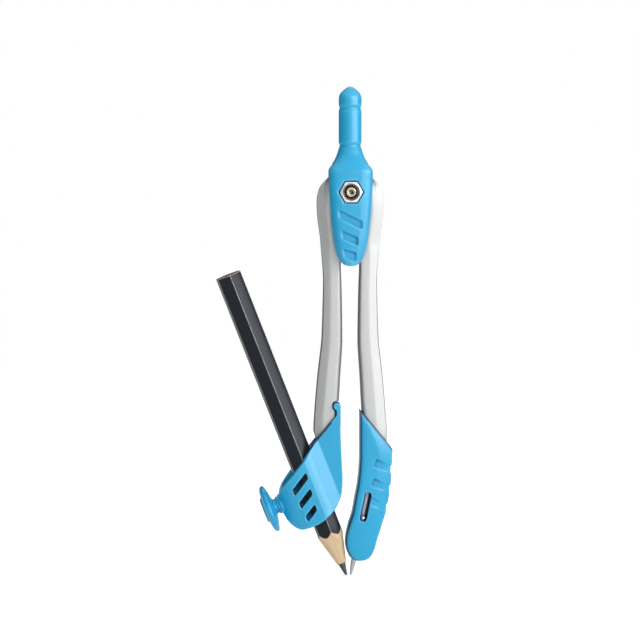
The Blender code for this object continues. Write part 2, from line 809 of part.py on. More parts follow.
# Three slanted windows in the front of the wrap
for number in range(3):
    right = -number * window_shift
    left = right - window_width + number * window_step
    fall = math.tan(window_slope) * (right - left)
    top = window_top - number * window_pitch
    corners = [(right, top), (left, top - fall), (left, top - fall - window_height), (right, top - window_height)]
    outline = rounded(corners, window_radius)
    front_frame = pencil_frame @ Matrix.Translation((0.0, -arch_depth / 2, 0.0))
    window = plate("window_%d" % (number + 1), outline, arch_depth / 4, cutters, front_frame)
    cut(holder, window)

# A round boss on the fold that the knob's collar faces
boss_seat = rod("clamp_boss", collar_radius + clearance, channel_end + clearance, fold_reach, cutters, clamp_frame)
join(holder, boss_seat)

# Sleeve round the leg's end and its tongue, then the spur with its bead
cut(holder, leg_skin("left_leg_room", -1, clearance, cutters))
join(holder, hook("hook", 0.0, spur_front, spur_back, spur_low))
cut(holder, tongue("left_tongue_room", -1, clearance))

# The screw's hole and the seat of its insert
insert_far = channel_end + insert_length / 2
insert_near = insert_far - insert_length
screw_hole = rod("screw_hole", screw_radius + clearance, channel_end / 2, fold_reach + overrun, cutters, clamp_frame)
insert_seat = rod("insert_seat", insert_radius + clearance, flat_place + pad_height,
                  insert_far + clearance, cutters, clamp_frame)
cut(holder, screw_hole, insert_seat)
finish(holder, material("holder_plastic", blue, 0.38, 0.0), left_joint)

# Clamp: insert, pad, screw and knob, with heights measured from the pencil's axis

insert_ring = [
    (insert_radius, insert_far), (insert_radius, insert_near),
    (screw_radius + clearance, insert_near), (screw_radius + clearance, insert_far),
]
insert = turned("clamp_insert", insert_ring, parts, clamp_frame, small_sides)
finish(insert, material("insert_brass", brass, 0.35, 1.0), clamp_axis)

pad_low = flat_place
pad_top = pad_low + pad_height
screw_low = pad_low + pad_floor + clearance
pad_profile = [
    (0.0, pad_low + pad_floor), (screw_radius + clearance, pad_low + pad_floor),
    (screw_radius + clearance, pad_top), (pad_radius, pad_top),
    (pad_radius, pad_low + clearance), (pad_radius - clearance, pad_low), (0.0, pad_low),
]
pad = turned("pressure_pad", pad_profile, parts, clamp_frame, small_sides)
finish(pad, material("pad_steel", steel, 0.35, 1.0), clamp_axis)

neck_low = fold_reach + clearance
disc_low = neck_low + knob_neck
disc_top = disc_low + knob_height
boss_top = disc_top + boss_height
socket_top = disc_low + knob_height / 2
knob_profile = [
    (0.0, boss_top), (boss_radius * 0.93, boss_top), (boss_radius, boss_top - boss_height / 3),
    (boss_radius, disc_top), (knob_radius * 0.78, disc_top - knob_height * 0.06),
    (knob_radius * 0.92, disc_top - knob_height * 0.2), (knob_radius, disc_top - knob_height * 0.42),
    (knob_radius, disc_top - knob_height * 0.58), (knob_radius * 0.92, disc_top - knob_height * 0.74),
    (knob_radius * 0.66, disc_low + knob_height * 0.10), (knob_radius * 0.45, disc_low),
    (knob_neck_radius, disc_low), (knob_neck_radius, neck_low + collar_height),
    (collar_radius, neck_low + collar_height), (collar_radius, neck_low),
    (screw_radius + clearance, neck_low), (screw_radius + clearance, socket_top), (0.0, socket_top),
]
knob = turned("thumb_knob", knob_profile, parts, clamp_frame, 32)
finish(knob, material("knob_plastic", blue, 0.36, 0.0), clamp_axis)

screw_profile = [
    (0.0, socket_top - clearance), (screw_radius, socket_top - clearance),
    (screw_radius, screw_low + clearance), (screw_radius - clearance, screw_low), (0.0, screw_low),
]
clamp_screw = turned("clamp_screw", screw_profile, parts, clamp_frame, small_sides)
finish(clamp_screw, material("screw_steel", steel, 0.3, 1.0), clamp_axis)

# Needle, its carrier and the carrier's stud

# Radius and height shares of the ground point
taper_shares = [(1.00, 1.00), (0.97, 0.82), (0.79, 0.54), (0.55, 0.27), (0.33, 0.10)]
needle_profile = [
    (0.0, needle_length), (shank_radius, needle_length), (shank_radius, carrier_low - clearance),
    (needle_radius, carrier_low - clearance),
]
needle_profile += [(r * needle_radius, h * needle_taper) for r, h in taper_shares]
needle_profile += [(needle_tip_radius, needle_tip_radius), (0.0, 0.0)]
needle = turned("needle", needle_profile, parts, needle_frame, 16)
finish(needle, material("needle_steel", steel, 0.2, 1.0), needle_axis)

carrier_top = carrier_low + carrier_length
socket_radius = shank_radius + clearance
socket_end = needle_length + clearance
carrier_profile = [
    (0.0, carrier_top), (carrier_radius - clearance, carrier_top), (carrier_radius, carrier_top - clearance),
    (carrier_radius, carrier_low), (socket_radius, carrier_low), (socket_radius, socket_end), (0.0, socket_end),
]
carrier = turned("needle_carrier", carrier_profile, parts, needle_frame, small_sides)
stud_frame = needle_frame @ Matrix.Translation((0.0, 0.0, stud_height)) @ to_front
stud_seat = stud_neck_radius * 2
stud_hole = rod("stud_hole", stud_neck_radius + clearance, stud_seat, carrier_radius + overrun, cutters, stud_frame, 16)
cut(carrier, stud_hole)
finish(carrier, material("carrier_steel", steel, 0.4, 1.0), needle_axis)

stud_foot = stud_seat + clearance
stud_middle = stud_reach - stud_radius
ball_steps = 6
stud_profile = [
    (stud_radius * math.sin(math.pi * k / ball_steps), stud_middle + stud_radius * math.cos(math.pi * k / ball_steps))
    for k in range(ball_steps - 1)
]
stud_profile += [(stud_neck_radius, stud_middle - stud_radius), (stud_neck_radius, stud_foot), (0.0, stud_foot)]
stud = turned("carrier_stud", stud_profile, parts, stud_frame, 16)
finish(stud, material("stud_steel", steel, 0.15, 1.0), needle_axis)

# Needle cover

# Drop share, left edge, right edge, depth and roundness shares from above the seam to the tip
cover_shares = [
    (0.000, 0.000, 1.000, 1.00, 5.0), (0.200, 0.000, 0.985, 1.00, 5.0), (0.340, 0.000, 0.955, 1.00, 5.0),
    (0.435, -0.030, 0.940, 1.00, 5.0), (0.510, -0.070, 0.915, 0.99, 5.0), (0.570, -0.125, 0.875, 0.98, 4.8),
    (0.633, -0.175, 0.825, 0.96, 4.6), (0.695, -0.230, 0.765, 0.93, 4.4), (0.750, -0.315, 0.685, 0.89, 4.2),
    (0.803, -0.378, 0.620, 0.83, 4.0), (0.840, -0.408, 0.565, 0.78, 3.8), (0.880, -0.418, 0.510, 0.73, 3.6),
    (0.917, -0.395, 0.470, 0.68, 3.4), (0.955, -0.332, 0.400, 0.61, 3.2), (0.978, -0.270, 0.335, 0.55, 3.0),
    (0.993, -0.185, 0.250, 0.48, 2.8), (1.000, -0.090, 0.150, 0.42, 2.6),
]
cover_rings = [
    section(cover_left + left * cover_width, cover_left + right * cover_width, depth * cover_depth / 2, power,
            -pivot_drop - cover_top - drop * cover_length, 32)
    for drop, left, right, depth, power in smooth_table(cover_shares, 2)
]
cover = loft("needle_cover", cover_rings, parts)
cut(cover, seam("cover_trim", 1, 0.0, cover_length))

# A sloping facet down the outer side, in front and behind
for side, name in ((-1, "front_facet"), (1, "rear_facet")):
    spot = Matrix.Translation((facet_place, side * cover_depth / 2, -pivot_drop - facet_drop))
    spot = spot @ Matrix.Rotation(facet_lean, 4, "Y") @ Matrix.Rotation(-side * facet_slope, 4, "Z")
    lows = (0.0, min(0.0, side * cover_depth), -cover_length / 2)
    highs = (cover_width, max(0.0, side * cover_depth), cover_length / 6)
    cut(cover, box(name, lows, highs, cutters, spot))

# Three slanted finger grooves that run round the outer side
side_places = smooth_table([(row[0], row[2]) for row in cover_shares], 4)
for number in range(3):
    groove_z = -pivot_drop - groove_drop - number * groove_pitch
    start = Matrix.Translation((groove_start - number * groove_shift, 0.0, groove_z))
    start = start @ Matrix.Rotation(groove_slope, 4, "Y")
    base = cover_depth / 2 - groove_depth
    far = cover_width / 2
    side_drop = (groove_drop + number * groove_pitch + far * math.sin(groove_slope) - cover_top) / cover_length
    side_share = min(side_places, key=lambda row: abs(row[0] - side_drop))[1]
    side_face = cover_left + side_share * cover_width - groove_depth
    band = box("groove_%d" % (number + 1), (0.0, -cover_depth, -groove_height), (cover_width, cover_depth, 0.0),
               cutters, start)
    core = box("groove_core_%d" % (number + 1), (0.0, -base, groove_z - cover_width),
               (side_face, base, groove_z + cover_width), cutters)
    cut(band, core)
    cut(cover, band)

# Sleeve round the leg's end and its tongue, bore for the carrier and its needle, window for the stud
# and seat for the spring
leg_room = leg_skin("right_leg_room", 1, clearance, cutters)
tongue_room = tongue("right_tongue_room", 1, clearance)
bore_radius = carrier_radius + clearance
bore_top = carrier_top + needle_travel + clearance
carrier_bore = rod("carrier_bore", bore_radius, carrier_low - clearance, bore_top, cutters, needle_frame, small_sides)
needle_hole = rod("needle_hole", needle_radius + clearance, -overrun, carrier_low, cutters, needle_frame, 16)
slot_half_width = stud_radius + clearance
slot_low = stud_height - slot_half_width
slot_high = stud_height + needle_travel + slot_half_width
slot_corners = [
    (-slot_half_width, slot_high), (-slot_half_width, slot_low),
    (slot_half_width, slot_low), (slot_half_width, slot_high),
]
window_frame = needle_frame @ Matrix.Translation((0.0, -cover_depth / 2, 0.0))
stud_window = plate("stud_window", rounded(slot_corners, slot_half_width, 5), cover_depth / 2, cutters, window_frame)
spring_low = carrier_low + carrier_length / 2 - spring_length / 2
seat_depth = carrier_radius + clearance * 2 + spring_height + spring_bow
spring_seat = box("spring_seat", (-spring_width / 2 - clearance, 0.0, spring_low - clearance),
                  (spring_width / 2 + clearance, seat_depth, spring_low + spring_length + clearance),
                  cutters, needle_frame)
cut(cover, leg_room, tongue_room, carrier_bore, needle_hole, stud_window, spring_seat)
finish(cover, material("cover_plastic", blue, 0.38, 0.0), right_joint)

# A bowed strip that presses on the carrier
bow_steps = 8
bow = []
for k in range(bow_steps + 1):
    share = k / bow_steps
    lift = spring_bow * (2 * share - 1) ** 2
    bow.append((carrier_radius + clearance + lift, spring_low + share * spring_length))
strip = bow + [(y + spring_height, z) for y, z in reversed(bow)]
side_on = Matrix.Rotation(math.pi / 2, 4, "Z")
spring = plate("detent_spring", strip, spring_width / 2, parts, needle_frame @ side_on)
finish(spring, material("spring_steel", steel, 0.3, 1.0), right_joint)

bpy.context.view_layer.update()
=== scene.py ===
"""Dresses the drawing compass: moulded blue plastic, silver cast legs, a lacquered pencil, small hardware.

The parts stand where the solid model has them, in metres, with the front facing -Y. The profile of a turned
piece is a line of (radius, height) in millimetres along the piece's own axis.
"""
import math

import bmesh
import bpy
import numpy as np
from mathutils import Matrix, Vector


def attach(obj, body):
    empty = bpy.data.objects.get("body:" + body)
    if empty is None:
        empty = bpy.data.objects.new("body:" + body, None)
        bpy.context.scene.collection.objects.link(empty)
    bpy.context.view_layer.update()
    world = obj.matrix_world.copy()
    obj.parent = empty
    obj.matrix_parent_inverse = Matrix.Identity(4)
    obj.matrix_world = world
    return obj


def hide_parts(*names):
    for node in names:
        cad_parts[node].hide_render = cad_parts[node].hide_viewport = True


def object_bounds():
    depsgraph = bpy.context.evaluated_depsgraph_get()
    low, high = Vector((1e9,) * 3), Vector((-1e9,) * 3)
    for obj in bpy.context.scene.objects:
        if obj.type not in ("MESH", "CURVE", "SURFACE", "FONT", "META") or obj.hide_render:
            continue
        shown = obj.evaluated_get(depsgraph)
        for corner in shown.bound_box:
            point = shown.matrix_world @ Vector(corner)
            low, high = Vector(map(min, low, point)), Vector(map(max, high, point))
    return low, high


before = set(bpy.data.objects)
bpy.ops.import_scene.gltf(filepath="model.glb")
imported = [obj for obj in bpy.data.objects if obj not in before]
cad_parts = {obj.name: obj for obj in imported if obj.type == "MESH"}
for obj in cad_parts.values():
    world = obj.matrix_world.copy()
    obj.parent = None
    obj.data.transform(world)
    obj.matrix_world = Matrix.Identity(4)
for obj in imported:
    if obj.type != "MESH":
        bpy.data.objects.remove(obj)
solid_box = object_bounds()

mm = 0.001

# Axes that the small parts turn or slide on
pivot_height = -17.4 * mm
pencil_tilt = math.radians(21.3)
pencil_foot = (-0.88 * mm, 0, -123.4 * mm)
clamp_height = 25.15 * mm
needle_tilt = math.radians(11.3)
needle_foot = (0.24 * mm, 0, -123.5 * mm)
stud_height = 16.8 * mm
forwards = Matrix.Rotation(math.pi / 2, 4, "X")
leftwards = Matrix.Rotation(-math.pi / 2, 4, "Y")
bolt_frame = Matrix.Translation((0, 0, pivot_height)) @ forwards
pencil_frame = Matrix.Translation(pencil_foot) @ Matrix.Rotation(-pencil_tilt, 4, "Y")
clamp_frame = pencil_frame @ Matrix.Translation((0, 0, clamp_height)) @ leftwards
needle_frame = Matrix.Translation(needle_foot) @ Matrix.Rotation(needle_tilt, 4, "Y")
stud_frame = needle_frame @ Matrix.Translation((0, 0, stud_height)) @ forwards

# The slanted line where a leg enters its plastic: its slope, and a point on it as (x, z)
seam_slope = math.radians(50.5)
seam_place = (6.6 * mm, -82.0 * mm)

# The pencil: a hexagon with worn ridges, cut to a cone that starts round the lead
pencil_flats = 7.0 * mm
pencil_length = 89.35 * mm
pencil_turn = math.radians(7)
ridge_reach = 3.93 * mm
point_angle = math.radians(14.7)
cone_low = 3.5 * mm
cone_start = 1.25 * mm
lead_bore = 1.15 * mm
end_chamfer = 0.12 * mm


# Surface maths

class Wire:
    """A value in a node tree that can be added, multiplied and compared."""

    def __init__(self, nodes, socket):
        self.nodes = nodes
        self.socket = socket

    def reckon(self, operation, *values):
        return self.nodes.add("ShaderNodeMath", {"operation": operation}, dict(enumerate(values)))

    def __add__(self, other):
        return self.reckon("ADD", self, other)

    def __sub__(self, other):
        return self.reckon("SUBTRACT", self, other)

    def __rsub__(self, other):
        return self.reckon("SUBTRACT", other, self)

    def __mul__(self, other):
        return self.reckon("MULTIPLY", self, other)

    def __mod__(self, other):
        return self.reckon("FLOORED_MODULO", self, other)

    def __neg__(self):
        return self.reckon("MULTIPLY", self, -1.0)

    def __abs__(self):
        return self.reckon("ABSOLUTE", self)

    __radd__ = __add__
    __rmul__ = __mul__

    def most(self, other):
        return self.reckon("MAXIMUM", self, other)

    def root(self):
        return self.reckon("SQRT", self)

    def wave(self):
        """A sine wave between 0 and 1."""
        return self.reckon("SINE", self) * 0.5 + 0.5

    def ramp(self, low, high, to_low=0.0, to_high=1.0):
        """A smooth step from one value to another."""
        return self.nodes.add("ShaderNodeMapRange", {"interpolation_type": "SMOOTHSTEP"},
                              {0: self, 1: low, 2: high, 3: to_low, 4: to_high})


def from_axis(x, y):
    """Distance from the third axis."""
    return (x * x + y * y).root()


class Nodes:
    """A node tree and the ways to add to it."""

    def __init__(self, tree):
        self.tree = tree

    def add(self, kind, settings=None, values=None, out=0):
        """Adds one node: its settings first, then the values or links of its sockets."""
        node = self.tree.nodes.new(kind)
        for key, value in (settings or {}).items():
            setattr(node, key, value)
        for key, value in (values or {}).items():
            self.feed(node.inputs[key], value)
        return Wire(self, node.outputs[out])

    def feed(self, socket, value):
        if isinstance(value, Wire):
            self.tree.links.new(value.socket, socket)
        elif hasattr(value, "__len__") and len(value) == 3 and socket.type == "RGBA":
            socket.default_value = (*value, 1.0)
        else:
            socket.default_value = value


class Finish(Nodes):
    """One material and the patterns that make it."""

    def __init__(self, name, **fixed):
        self.material = bpy.data.materials.new(name)
        self.material.use_nodes = True
        super().__init__(self.material.node_tree)
        self.shader = self.tree.nodes["Principled BSDF"]
        for key, value in fixed.items():
            label = key.replace("_", " ").title().replace("Ior", "IOR")
            self.shader.inputs[label].default_value = value

    def place(self):
        return self.add("ShaderNodeTexCoord", None, None, "Object")

    def within(self, matrix):
        """Object coordinates in the frame of an axis, as three values."""
        back = matrix.inverted()
        turned = self.add("ShaderNodeMapping", {"vector_type": "POINT"}, {
            "Vector": self.place(), "Location": back.to_translation(), "Rotation": back.to_euler()})
        return self.apart(turned)

    def apart(self, vector):
        return [self.add("ShaderNodeSeparateXYZ", None, {0: vector}, axis) for axis in range(3)]

    def noise(self, scale, detail=2.0, rough=0.5, vector=None, twist=0.0):
        return self.add("ShaderNodeTexNoise", None, {
            "Vector": vector or self.place(), "Scale": scale, "Detail": detail,
            "Roughness": rough, "Distortion": twist})

    def streaks(self, axes, across, along, detail, rough, twist=0.0):
        """Noise that is drawn out along the third axis, with its scales across and along it."""
        x, y, z = axes
        stretched = self.add("ShaderNodeCombineXYZ", None, {0: x * across, 1: y * across, 2: z * along})
        return self.noise(1.0, detail, rough, stretched, twist)

    def cells(self, scale, vector=None, out="Distance"):
        values = {"Vector": vector or self.place(), "Scale": scale}
        return self.add("ShaderNodeTexVoronoi", None, values, out)

    def over_seam(self, side):
        """Distance from the slanted seam between a leg and its plastic, positive on the leg."""
        x, _, z = self.apart(self.place())
        outwards = (x * side - seam_place[0]) * math.sin(seam_slope)
        return outwards + (z - seam_place[1]) * math.cos(seam_slope)

    def own(self, name):
        """A measure that the piece carries: edge is above 0 on its edges and below 0 in its hollows,
        and wall goes from 0 on its front and back to 1 or -1 on its right and left sides."""
        return self.add("ShaderNodeAttribute", {"attribute_name": name}, None, "Fac")

    def blend(self, share, first, second):
        return self.add("ShaderNodeMix", {"data_type": "RGBA"}, {0: share, 6: first, 7: second}, 2)

    def colour(self, value):
        self.feed(self.shader.inputs["Base Color"], value)

    def rough(self, value):
        self.feed(self.shader.inputs["Roughness"], value)

    def metal(self, value):
        self.feed(self.shader.inputs["Metallic"], value)

    def bump(self, *layers):
        """Layers of height, each with its depth in metres."""
        values = {"Strength": 1.0}
        for height, depth in layers:
            values.update({"Height": height, "Distance": depth})
            values["Normal"] = self.add("ShaderNodeBump", None, values)
        self.feed(self.shader.inputs["Normal"], values["Normal"])


# Finishes, with their colours in linear light

blue_deep = (0.014, 0.375, 0.655)
blue_plain = (0.020, 0.412, 0.705)
blue_grain = (0.06, 0.500, 0.820)
blue_edge_highlight = (0.13, 0.560, 0.870)
blue_hollow_shade = (0.004, 0.120, 0.330)
blue_seam_shade = (0.004, 0.06, 0.16)
blue_inner_shade = (0.002, 0.05, 0.13)


def moulded_blue(name, seed, side=0):
    """Blue moulded plastic with a fine spark grain, softly polished edges that carry a painted highlight, and
    painted shade in its hollows.

    side is -1 or 1 where the piece holds the left or the right leg, for a line of painted shade at the seam;
    on the right the inner wall also gets painted shade."""
    made = Finish(name, ior=1.5)
    place = made.place()
    shift = (seed, seed * 0.7, -seed)
    shifted = made.add("ShaderNodeVectorMath", {"operation": "ADD"}, {0: place, 1: shift})
    flow = made.noise(70.0, 3.0, 0.55, shifted, 0.6)
    grain = made.noise(5200.0, 2.0, 0.6, shifted)
    speck = made.cells(900.0, shifted)
    haze = made.noise(420.0, 4.0, 0.65, shifted)
    edge = made.own("edge")
    body = made.blend(flow.ramp(0.3, 0.7), blue_deep, blue_plain)
    body = made.blend(grain.ramp(0.35, 0.7, 0.0, 0.12), body, blue_grain)
    # Painted highlight: the convex edges are lighter blue
    body = made.blend(edge.ramp(0.15, 0.85, 0.0, 0.45), body, blue_edge_highlight)
    # Painted shade: the hollows are darker blue
    body = made.blend((-edge).ramp(0.12, 0.8, 0.0, 0.75), body, blue_hollow_shade)
    # Painted shade: a dark line on the plastic beside the seam with the leg
    if side:
        line = made.over_seam(side).ramp(-0.5 * mm, -0.25 * mm)
        if side < 0:
            past_pencil = made.apart(place)[0] * side
            line = line * past_pencil.ramp(4.8 * mm, 5.4 * mm)
        body = made.blend(line * 0.85, body, blue_seam_shade)
    # Painted shade: the inner wall of the right-hand cover is darkened to navy
    if side > 0:
        inner_wall_shade = (-made.own("wall")).ramp(0.1, 0.5, 0.0, 0.9)
        body = made.blend(inner_wall_shade, body, blue_inner_shade)
    made.colour(body)
    made.rough(0.23 + haze * 0.08 + grain * 0.05 - edge.ramp(0.2, 1.0, 0.0, 0.04))
    made.bump((grain, 0.003 * mm), (speck, 0.0015 * mm), (flow, 0.02 * mm))
    return made.material


silver_dark = (0.550, 0.554, 0.556)
silver_light = (0.585, 0.589, 0.591)
silver_warm = (0.55, 0.55, 0.54)
silver_flake = (0.85, 0.85, 0.85)
silver_shade = (0.25, 0.255, 0.26)
silver_side_shade = (0.15, 0.154, 0.158)
silver_seam_shade = (0.03, 0.035, 0.04)


def cast_silver(name, side):
    """Silver paint with fine flakes over a cast leg, with painted shade in its hollows, on the left leg's
    shoulders, on its sides and along the seam.
    """
    made = Finish(name, ior=1.45, specular_ior_level=0.22)
    flake = made.apart(made.cells(6500.0, None, "Color"))
    fine = made.noise(5200.0, 2.0, 0.6)
    broad = made.noise(110.0, 3.0, 0.5)
    hollow_shade = -made.own("edge")
    wall = abs(made.own("wall"))
    # Painted shade on the left leg's sloped shoulders, where they turn away from the light
    shoulder_shade_share = 0.36 if side < 0 else 0.0
    tone = made.blend(flake[0].ramp(0.1, 0.95), silver_dark, silver_light)
    tone = made.blend(broad.ramp(0.3, 0.7, 0.0, 0.25), tone, silver_warm)
    tone = made.blend(flake[1].ramp(0.96, 0.99, 0.0, 0.4), tone, silver_flake)
    # Painted shade: darker in the hollows
    tone = made.blend(hollow_shade.ramp(0.1, 0.8, 0.0, 0.5), tone, silver_shade)
    tone = made.blend(wall.ramp(0.02, 0.07, 0.0, shoulder_shade_share), tone, silver_shade)
    # Painted shade: the sides darken towards dark grey
    tone = made.blend(wall.ramp(0.075, 0.45, 0.0, 0.85), tone, silver_side_shade)
    # Painted shade: a dark line on the leg along the seam with the plastic
    tone = made.blend(made.over_seam(side).ramp(0.0, 0.4 * mm, 0.9, 0.0), tone, silver_seam_shade)
    made.colour(tone)
    made.rough(0.42 + fine * 0.06)
    made.metal(0.14 + flake[1] * 0.06)
    made.bump((fine, 0.002 * mm), (broad, 0.02 * mm))
    return made.material


brass_tones = ((0.42, 0.35, 0.26), (0.78, 0.69, 0.56))
nickel_tones = ((0.80, 0.82, 0.84), (0.90, 0.92, 0.94))
zinc_tones = ((0.30, 0.30, 0.30), (0.48, 0.48, 0.47))
bush_tones = ((0.45, 0.29, 0.12), (0.74, 0.52, 0.27))
black_tones = ((0.05, 0.05, 0.055), (0.11, 0.11, 0.115))
bright_tones = ((0.70, 0.70, 0.70), (0.90, 0.90, 0.90))
dimple_shade = (0.05, 0.035, 0.025)


def turned_metal(name, matrix, tones, rough, pitch, dimple=0.0, shine=1.0):
    """Bright metal with fine turning rings about an axis, and painted shade inside a dimple's radius."""
    made = Finish(name, metallic=shine)
    x, y, z = made.within(matrix)
    radius = from_axis(x, y)
    wobble = made.noise(900.0, 2.0, 0.5)
    ring = ((radius + z) * (math.tau / pitch) + wobble * 2.5).wave()
    smear = made.noise(1500.0, 3.0, 0.6)
    dark, light = tones
    tone = made.blend(smear.ramp(0.3, 0.75), dark, light)
    tone = made.blend(ring * 0.35, tone, light)
    # Painted shade: dark brown inside the dimple's radius
    if dimple:
        tone = made.blend((radius - dimple).ramp(-0.12 * mm, 0.05 * mm, 0.85, 0.0), tone, dimple_shade)
    made.colour(tone)
    made.rough(rough + smear * 0.12 + ring * 0.05)
    made.bump((ring, 0.004 * mm), (smear, 0.004 * mm))
    return made.material


steel_dark = (0.46, 0.46, 0.47)
steel_light = (0.72, 0.72, 0.72)


def drawn_steel(name, rough):
    """Steel wire or strip with fine draw lines along the needle's axis."""
    made = Finish(name, metallic=1.0)
    line = made.streaks(made.within(needle_frame), 6500.0, 260.0, 3.0, 0.6)
    cloud = made.noise(500.0, 2.0, 0.5)
    made.colour(made.blend(line.ramp(0.3, 0.7), steel_dark, steel_light))
    made.rough(rough + line * 0.12 + cloud * 0.06)
    made.bump((line, 0.004 * mm))
    return made.material


fibre_dark = (0.30, 0.30, 0.29)
fibre_light = (0.50, 0.50, 0.47)


def pressed_fibre(name):
    """Pressed grey washer fibre."""
    made = Finish(name, ior=1.45)
    fine = made.noise(2600.0, 4.0, 0.7)
    fleck = made.cells(1500.0)
    made.colour(made.blend(fine.ramp(0.3, 0.7), fibre_dark, fibre_light))
    made.rough(0.62 + fine * 0.2)
    made.bump((fine, 0.02 * mm), (fleck, 0.01 * mm))
    return made.material


wood_light = (0.80, 0.60, 0.38)
wood_streak = (0.68, 0.48, 0.28)
wood_pore = (0.50, 0.34, 0.19)
end_dark = (0.10, 0.07, 0.06)
end_light = (0.24, 0.16, 0.12)
lacquer_dark = (0.009, 0.012, 0.018)
lacquer_light = (0.015, 0.019, 0.027)
lacquer_scratch = (0.06, 0.066, 0.08)
lacquer_wear_and_highlight = (0.36, 0.39, 0.43)
lacquer_rim = (0.50, 0.42, 0.33)


def pencil_coat(name):
    """Dark lacquer on the flats, bare cut wood on the point and the end."""
    made = Finish(name, ior=1.5, specular_ior_level=0.21)
    axes = made.within(pencil_frame)
    x, y, z = axes
    radius = from_axis(x, y)
    ragged = made.noise(900.0, 3.0, 0.6)
    cone = cone_start + (z - cone_low) * math.tan(point_angle)
    from_end = z - pencil_length

    # Bare wood: the cone up to a ragged edge, and the sawn end inside its rim
    over_cone = cone - radius + (ragged - 0.5) * (0.048 * mm)
    cut = 1.0 - over_cone.ramp(0.03 * mm, 0.09 * mm)
    sawn = from_end.ramp(-0.06 * mm, -0.03 * mm)
    inside_rim = 1.0 - radius.ramp(3.6 * mm, 3.7 * mm)
    bare = cut.most(sawn * inside_rim)

    # Wood: growth streaks along the pencil and rings left by the sharpener's blade
    growth = made.streaks(axes, 900.0, 45.0, 3.0, 0.5, 0.2)
    pores = made.streaks(axes, 5200.0, 420.0, 2.0, 0.6)
    shaving = (z * (math.tau / (0.35 * mm)) + ragged * 3.0).wave()
    end_wood = made.blend(ragged.ramp(0.35, 0.7), end_dark, end_light)
    wood = made.blend(growth.ramp(0.35, 0.75), wood_light, wood_streak)
    wood = made.blend(pores.ramp(0.62, 0.85, 0.0, 0.15), wood, wood_pore)
    wood = made.blend(sawn, wood, end_wood)

    # Lacquer: a cool black, lighter along the ridges as rubbed lacquer and a painted highlight, and chipped
    # at the end
    turn = made.add("ShaderNodeMath", {"operation": "ARCTAN2"}, {0: y, 1: x}) - pencil_turn
    step = math.tau / 6
    from_ridge = abs(turn % step - step / 2)
    ridge_breakup = made.streaks(axes, 900.0, 300.0, 4.0, 0.7)
    # Rubbed lacquer and a painted highlight: a lighter line along each ridge
    ridge_wear_and_highlight = (1.0 - from_ridge.ramp(0.015, 0.05)) * ridge_breakup.ramp(0.25, 0.6, 0.6, 1.0)
    fleck = made.noise(2600.0, 2.0, 0.5)
    scratch = made.streaks(axes, 2600.0, 60.0, 3.0, 0.6)
    coat = made.blend(fleck.ramp(0.35, 0.75), lacquer_dark, lacquer_light)
    coat = made.blend(scratch.ramp(0.68, 0.82, 0.0, 0.25), coat, lacquer_scratch)
    coat = made.blend(ridge_wear_and_highlight * 0.8, coat, lacquer_wear_and_highlight)
    coat = made.blend(from_end.ramp(-0.2 * mm, -0.15 * mm, 0.0, 0.8), coat, lacquer_rim)

    coated = 1.0 - bare
    made.colour(made.blend(bare, coat, wood))
    made.rough((0.24 + fleck * 0.08 + scratch * 0.06) * coated + (0.62 + growth * 0.1) * bare)
    made.bump((shaving * bare, 0.006 * mm), (growth * bare, 0.015 * mm), (fleck * coated, 0.004 * mm))
    return made.material


graphite_dark = (0.04, 0.038, 0.036)
graphite_light = (0.11, 0.105, 0.10)


def sharpened_graphite(name):
    """Sharpened graphite with a dull sheen."""
    made = Finish(name, metallic=0.35, ior=1.6)
    axes = made.within(pencil_frame)
    line = made.streaks(axes, 3200.0, 500.0, 3.0, 0.6)
    shaving = (axes[2] * (math.tau / (0.22 * mm)) + line * 2.0).wave()
    made.colour(made.blend(line.ramp(0.3, 0.75), graphite_dark, graphite_light))
    made.rough(0.34 + line * 0.22)
    made.bump((shaving, 0.006 * mm), (line, 0.01 * mm))
    return made.material


# Shapes

def placed(name, data):
    """An object in the scene with this mesh, lamp or camera."""
    made = bpy.data.objects.new(name, data)
    bpy.context.scene.collection.objects.link(made)
    return made


def made_mesh(maker, name):
    """The mesh that an object's modifiers make. The object is removed."""
    bpy.context.view_layer.update()
    mesh = bpy.data.meshes.new_from_object(maker.evaluated_get(bpy.context.evaluated_depsgraph_get()))
    bpy.data.objects.remove(maker)
    mesh.name = name
    return mesh


def paint(mesh, material):
    mesh.materials.clear()
    mesh.materials.append(material)


def set_finish(piece, body, slot, material, *nodes):
    """Paints a piece, ties it to its body and lets it stand for the solids that it covers."""
    paint(piece.data, material)
    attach(piece, body)
    if nodes:
        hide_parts(*nodes)


def merged_copy(node):
    """The node's mesh as a new one with its corners joined."""
    shape = bmesh.new()
    shape.from_mesh(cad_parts[node].data)
    bmesh.ops.remove_doubles(shape, verts=shape.verts, dist=0.002 * mm)
    clean = bpy.data.meshes.new(node + "_clean")
    shape.to_mesh(clean)
    shape.free()
    return clean


def neighbours(mesh):
    """Both ends of every edge and the number of edges at every point."""
    ends = np.zeros(len(mesh.edges) * 2, np.int64)
    mesh.edges.foreach_get("vertices", ends)
    count = np.bincount(ends, minlength=len(mesh.vertices)).astype(float)
    return ends.reshape(-1, 2), np.maximum(count, 1.0)


def relaxed(points, ties, share, rounds, back=0.0):
    """Moves every point towards its neighbours' middle, and back again where a back share is given."""
    ends, count = ties
    moved = points.copy()
    for _ in range(rounds):
        for step in (share, back):
            if step == 0.0:
                continue
            middle = np.zeros_like(moved)
            for axis in range(3):
                middle[:, axis] = (
                    np.bincount(ends[:, 0], moved[ends[:, 1], axis], len(moved))
                    + np.bincount(ends[:, 1], moved[ends[:, 0], axis], len(moved)))
            moved += step * (middle / count[:, None] - moved)
    return moved


def evened(points, ties, rounds):
    """Takes out the steps between neighbours and keeps the size."""
    return relaxed(points, ties, 0.5, rounds, -0.52)


